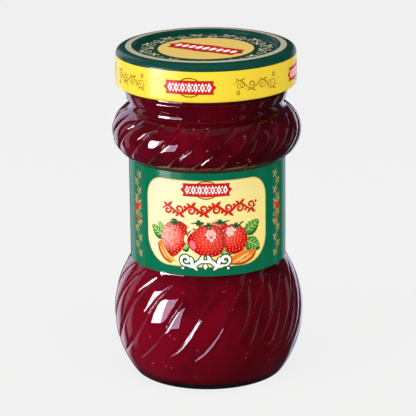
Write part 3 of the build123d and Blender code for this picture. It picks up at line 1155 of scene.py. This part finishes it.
for across, up in ((-13.0, 21.2), (-3.6, 21.6), (4.6, 21.8), (11.0, 20.0), (0.2, 20.6)):
    for way, reach in ((-165, 2.3), (-128, 1.6), (-90, 1.3), (-52, 1.6), (-15, 2.3), (58, 1.2), (118, 1.2)):
        swing = math.radians(way)
        tip = (across + reach * math.cos(swing), up + reach * math.sin(swing))
        sepals.append(leaf((across, up), tip, 0.75))
inked("sepals", sepals, leaf_dark, 0.122)

# %% [markdown]
# The berries are soft outlines through a dozen points. The two behind are laid first, then the left and
# right ones, and the middle one over them. Each has its own ink, since the painted highlight is at another
# place on each.

# %% Berries
left = [(-7.9, 18.2), (-8.2, 20.0), (-10.1, 21.5), (-13.1, 21.7), (-15.8, 20.7), (-18.2, 18.2), (-19.0, 15.3)]
left += [(-18.5, 12.1), (-16.7, 9.2), (-14.3, 7.1), (-11.9, 8.5), (-9.5, 11.4), (-8.2, 14.6)]
middle = [(-8.0, 14.6), (-7.2, 16.4), (-4.8, 18.5), (-1.8, 20.5), (1.2, 20.8), (4.5, 19.6), (6.1, 17.1)]
middle += [(6.4, 13.5), (5.7, 10.3), (3.6, 8.2), (0.0, 7.8), (-2.9, 8.4), (-6.0, 10.3), (-7.6, 12.1)]
right = [(6.0, 18.5), (7.5, 20.1), (10.1, 20.5), (13.1, 19.2), (15.2, 16.7), (15.8, 14.2), (15.2, 11.7)]
right += [(13.7, 9.6), (11.3, 8.5), (8.3, 8.7), (6.3, 11.4)]
behind_left = [(-7.7, 20.1), (-6.0, 21.4), (-3.6, 22.0), (-1.4, 21.5), (-2.4, 20.3), (-4.8, 18.6), (-7.2, 18.8)]
behind_right = [(0.9, 20.6), (2.4, 22.0), (4.8, 22.2), (7.2, 21.0), (7.4, 18.9), (4.8, 18.4), (2.4, 19.5)]
left, middle, right = smooth(left), smooth(middle), smooth(right)
# the last number of each berry is the strength of its painted highlight
berries = (
    ("behind_left", smooth(behind_left), 0.085, "berry_a", (-4.5, 20), 4, (-1, 1), 0.1),
    ("behind_right", smooth(behind_right), 0.085, "berry_b", (4, 20.5), 4, (-0.6, 1.2), 0.5),
    ("left", left, 0.1, "berry_c", (-13.2, 14.8), 8, (-3.2, 1.0), 0.85),
    ("right", right, 0.1, "berry_d", (10.6, 14.6), 7, (-2, 2.4), 0.2),
    ("middle", middle, 0.115, "berry_e", (-0.6, 14.2), 8.5, (1.4, 2.0), 0.15),
)
for name, outline, lift, *ink in berries:
    inked(f"berry_{name}", [outline], berry_ink(*ink), lift)

# %% [markdown]
# The seeds leave the glints free. A glint is a cluster of white dots with dark pits, as on a wet berry, and
# the middle berry has a pink one at its tip besides.

# %% Seeds and glints of the berries
glint_middle = [(-0.9, 18.0), (0.6, 18.6), (2.4, 18.4), (3.2, 16.9), (2.7, 14.6), (1.2, 13.4), (-0.4, 14.2)]
glint_right = [(7.4, 19.0), (8.9, 19.6), (10.8, 19.0), (10.6, 17.2), (9.2, 15.9), (7.6, 16.2), (6.9, 17.6)]
glint_tip = [(-7.2, 13.2), (-6.4, 14.4), (-5.2, 13.4), (-4.8, 11.8), (-5.6, 10.8), (-6.8, 11.6)]
side_seeds = seeds_in(left, 1.35) + seeds_in(right, 1.35, smooth(glint_right))
inked("berry_seeds", side_seeds, seed_ink, 0.12)
inked("berry_seeds_middle", seeds_in(middle, 1.4, smooth(glint_middle)), seed_ink, 0.13)
pits = [(0.2, 17.9), (1.6, 18.1), (2.5, 17.0), (-0.4, 16.7), (1.1, 16.8), (2.3, 15.6), (0.2, 15.5), (1.3, 14.5)]
pits += [(7.9, 18.6), (9.2, 18.9), (10.2, 18.1), (7.6, 17.3), (8.9, 17.6), (9.5, 16.6), (8.2, 16.3)]
inked("glints", [dot(pit, 1.25, 1.2, 9) for pit in pits], white_ink, 0.14)
inked("glint_tip", [smooth(glint_tip)], coated("pink_ink", shade(228, 110, 130)), 0.14)
inked("glint_pits", [dot(pit, 0.5, 0.6, 7) for pit in pits], plaque_red, 0.15)

# %% [markdown]
# A white scroll with a dark green outline closes the picture at its foot. It is drawn for one side and
# mirrored, which makes it plainly an ornament and no writing.

# %% White scroll
half_scroll = [
    stroke(curl((7.6, 7.0), 2.3, 250, 430), 1.15, 0.45),
    stroke([(7.0, 4.9), (4.6, 4.6), (2.4, 6.4), (0, 6.6)], 1.4, 0.6),
    leaf((4.8, 4.9), (3.0, 2.9), 1.2),
    leaf((5.0, 5.0), (5.6, 8.4), 1.5),
    leaf((2.2, 6.0), (0.8, 9.2), 1.4),
    dot((8.8, 3.6), 1.0),
]
white_scroll = placed(half_scroll, -1.1, -0.6) + placed(half_scroll, -1.1, -0.6, 1, 0, True)
white_scroll += [lozenge((-1.1, 4.0), 1.8, 2.6)]
inked("scroll_edge", grown(white_scroll, 0.5), leaf_dark, 0.155)
inked("scroll", white_scroll, white_ink, 0.175)

# %% [markdown]
# A column of gold filigree with red berries stands on each side of the panel. It is the running scroll
# turned upright, in a thin pen, with a fruiting stalk laid over its middle.

# %% Gold filigree
filigree_gold = coated("filigree_ink", shade(184, 158, 98))
column = [placed(outlines, 0, 0, 1, 90) for outlines in running_scroll(35.0, 11, 1.25, 0.34, 1.5)]
stalk = [stroke([(-0.6, 14.6), (0.8, 17.6), (-0.6, 21.0), (0.4, 26.4)], 0.4, 0.5)]
stalk += [leaf((0, 17.0), (-3.0, 18.4), 1.1), leaf((0.2, 24.4), (2.8, 26.4), 1.0)]
stalk += [leaf((0, 25.0), (-2.6, 27.0), 1.0), leaf((0.2, 16.0), (2.6, 14.6), 0.9)]
stalk += [stroke(curl((-1.7, 20.4), 1.2, 0, 380), 0.34, 0.4)]
fruits = [dot((0.3, 24.0), 2.6, 2.5, 14), dot((-1.6, 25.0), 1.5, 1.4, 12), dot((1.7, 22.6), 1.7, 1.6, 12)]
fruits += [dot((0.6, 18.8), 1.9, 1.9, 12), dot((-1.2, 17.4), 0.9)]
for name, across, flip in (("left", -32.7, True), ("right", 32.2, False)):
    laid("filigree_{}_" + name, column, (across, 20.8, 1, 0, flip), filigree_gold, 0.02, 0.01)
    inked(f"filigree_stalk_{name}", placed(stalk, across, 0, 1, 0, flip), filigree_gold, 0.05)
    fruit_ink = coated(f"fruit_ink_{name}", shade(205, 38, 24))
    inked(f"filigree_fruit_{name}", placed(fruits, across, 0, 1, 0, flip), fruit_ink, 0.065)

# %% [markdown]
# The lid is pressed from thin tin plate: a raised disc, a sunk panel, a round shoulder, a straight skirt
# and a hem rolled inwards at its foot. All of that shows in one outline, so it is spun like the glass, with
# its inner face drawn too. The thread's lugs are inside, out of sight.

# %% Lid
LID = 35.0
LID_TOP = lid_high[2] / MM
LID_FOOT = lid_low[2] / MM
PANEL = LID_TOP - 1.9
SHEET = 0.3
lid_top_side = (
    [(0, PANEL + 0.3), (17.6, PANEL + 0.3)]
    + corner_points((18.4, PANEL + 0.3), (18.8, PANEL + 0.25), (19.2, PANEL + 0.05), 4)
    + [(19.8, PANEL), (26.4, PANEL)]
    + corner_points((26.9, PANEL), (27.35, PANEL), (27.45, PANEL + 0.5), 4)
    + corner_points((27.65, LID_TOP - 0.5), (27.75, LID_TOP), (28.5, LID_TOP - 0.02), 5)
    + corner_points((31.6, LID_TOP - 0.2), (LID, LID_TOP - 0.42), (LID, LID_TOP - 3.3), 14)
)
skirt_side = [(LID, LID_TOP - 6), (LID, LID_TOP - 9), (LID, LID_FOOT + 2.2)]
hem_side = arc_points((LID - 0.85, LID_FOOT + 0.85), 0.85, 0, -250, 14)
lid_under = [(radius - SHEET, height) for radius, height in reversed(skirt_side)] + [
    (LID - SHEET, LID_TOP - 3.5),
    (33.9, LID_TOP - 1.6),
    (31.2, LID_TOP - 0.62),
    (28.6, LID_TOP - 0.4),
    (28.1, LID_TOP - 0.7),
    (27.7, PANEL - 0.2),
    (27.3, PANEL - SHEET),
    (19.2, PANEL - SHEET),
    (18.2, PANEL),
    (0, PANEL),
]
lid_side = lid_top_side + skirt_side + hem_side + lid_under
lid = spun("lid_tin", lid_side, 288)

# %% [markdown]
# The tin is lacquered in flat areas before it is pressed: a yellow skirt, a green top, a pale ring on the
# shoulder and a straw-coloured disc. Their borders are circles, so they are masks of height and of distance
# from the axis rather than sheets of ink.

# %% Lid lacquer
LACQUER_COAT = (0.32, 0.17)
GREEN_FOOT = LID_TOP - 2.9
DISC_EDGE = 18.65
SHOULDER_RING = (28.9, 31.2)
lid_finish, wire = fresh("lid_lacquer")
place = wire.place()
axes = {axis: place.along(axis) for axis in "XYZ"}
away = ((axes["X"] * axes["X"] + axes["Y"] * axes["Y"]) ** 0.5) * (1 / MM)
level = axes["Z"] * (1 / MM)
green = level.math("GREATER_THAN", GREEN_FOOT)
disc = away.math("LESS_THAN", DISC_EDGE)
ring = away.band(*SHOULDER_RING, 0.02)
sheen = place.clouds(500.0)
colour = green.blend(shade(230, 205, 52), shade(0, 60, 48))
colour = disc.blend(colour, shade(226, 192, 100))
colour = (ring * green).blend(colour, shade(178, 172, 148))
varnish(wire, colour, 0.4 + sheen * 0.08, *LACQUER_COAT, 0.1)
lid.data.materials.append(lid_finish)
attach(lid, "root")
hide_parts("lid")
print("lid from", LID_FOOT, "to", LID_TOP)

# %% [markdown]
# The print on the lid lies on three faces, and each needs its own way from flat artwork to the tin: round
# the skirt, flat on the raised disc, and in a ring round the sunk panel.

# %% Wrapping the lid's print
SKIRT_MIDDLE = 122.6
RING = 23.2


def round_skirt(across, up, lift):
    """From flat artwork to the lid's skirt: across from its front, up from the middle of the print."""
    angle = across / LID
    reach = LID + lift
    return reach * np.sin(angle), -reach * np.cos(angle), SKIRT_MIDDLE + up


def on_disc(across, up, lift):
    """From flat artwork to the raised disc on top."""
    return across, up, PANEL + 0.3 + lift


def on_panel(across, up, lift):
    """From flat artwork to the sunk panel: across runs round it at its middle radius, up runs outwards."""
    angle = across / RING
    reach = RING + up
    return reach * np.sin(angle), -reach * np.cos(angle), PANEL + lift


print("front of the skirt's print at", [round(float(side), 2) for side in round_skirt(0, 0, 0)])

# %% [markdown]
# The skirt is printed with four plaques and, between them, four brown scrolls, each drawn once and laid
# four times round. The ring of filigree and one more plaque, with beads, are on top.

# %% Print on the lid
QUARTER = LID * math.pi / 2
PLAQUE_START = -LID * math.radians(10.6)
skirt_yellow = coated("skirt_yellow_ink", shade(230, 205, 52), 0.4, *LACQUER_COAT)
for step in range(4):
    spot = PLAQUE_START + step * QUARTER
    plaque(f"skirt_plaque_{step}", round_skirt, spot, 0, 1.0, 0, "lid_tin", 0.02, skirt_yellow)

scroll_brown = coated("scroll_ink", shade(166, 116, 20), 0.4, *LACQUER_COAT)
stem, curls, sprigs = running_scroll(20.0, 4, 1.5, 0.4, 1.1)
eyes = []
for middle in ((8.0, 3.2), (-7.8, -3.1)):
    rim_of_eye, hole = dot(middle, 1.5, 1.8, 12), dot(middle, 0.7, 1.0, 12)
    eyes.append(rim_of_eye + [rim_of_eye[0], hole[0]] + hole[:0:-1] + [hole[0]])
skirt_scroll = (stem, curls + placed(curls, 0, 0, 0.8, 180), sprigs, eyes)
for side in range(4):
    spot = (PLAQUE_START + (side + 0.484) * QUARTER, 0, 1, -4)
    laid(f"skirt_{{}}_{side}", skirt_scroll, spot, scroll_brown, 0.02, 0.01, round_skirt, 1.4, "lid_tin")

ring_gold = coated("ring_ink", shade(192, 188, 160))
panel_ring = running_scroll(RING * 2 * math.pi, 24, 1.5, 0.5, 1.8)
laid("panel_ring_{}", panel_ring, (), ring_gold, 0.02, 0.012, on_panel, 1.4, "lid_tin")
disc_ink = coated("disc_ink", shade(226, 192, 100), 0.4, *LACQUER_COAT)
plaque("top_plaque", on_disc, 0, -0.6, 1.55, -32, "lid_tin", 0.02, disc_ink, True)
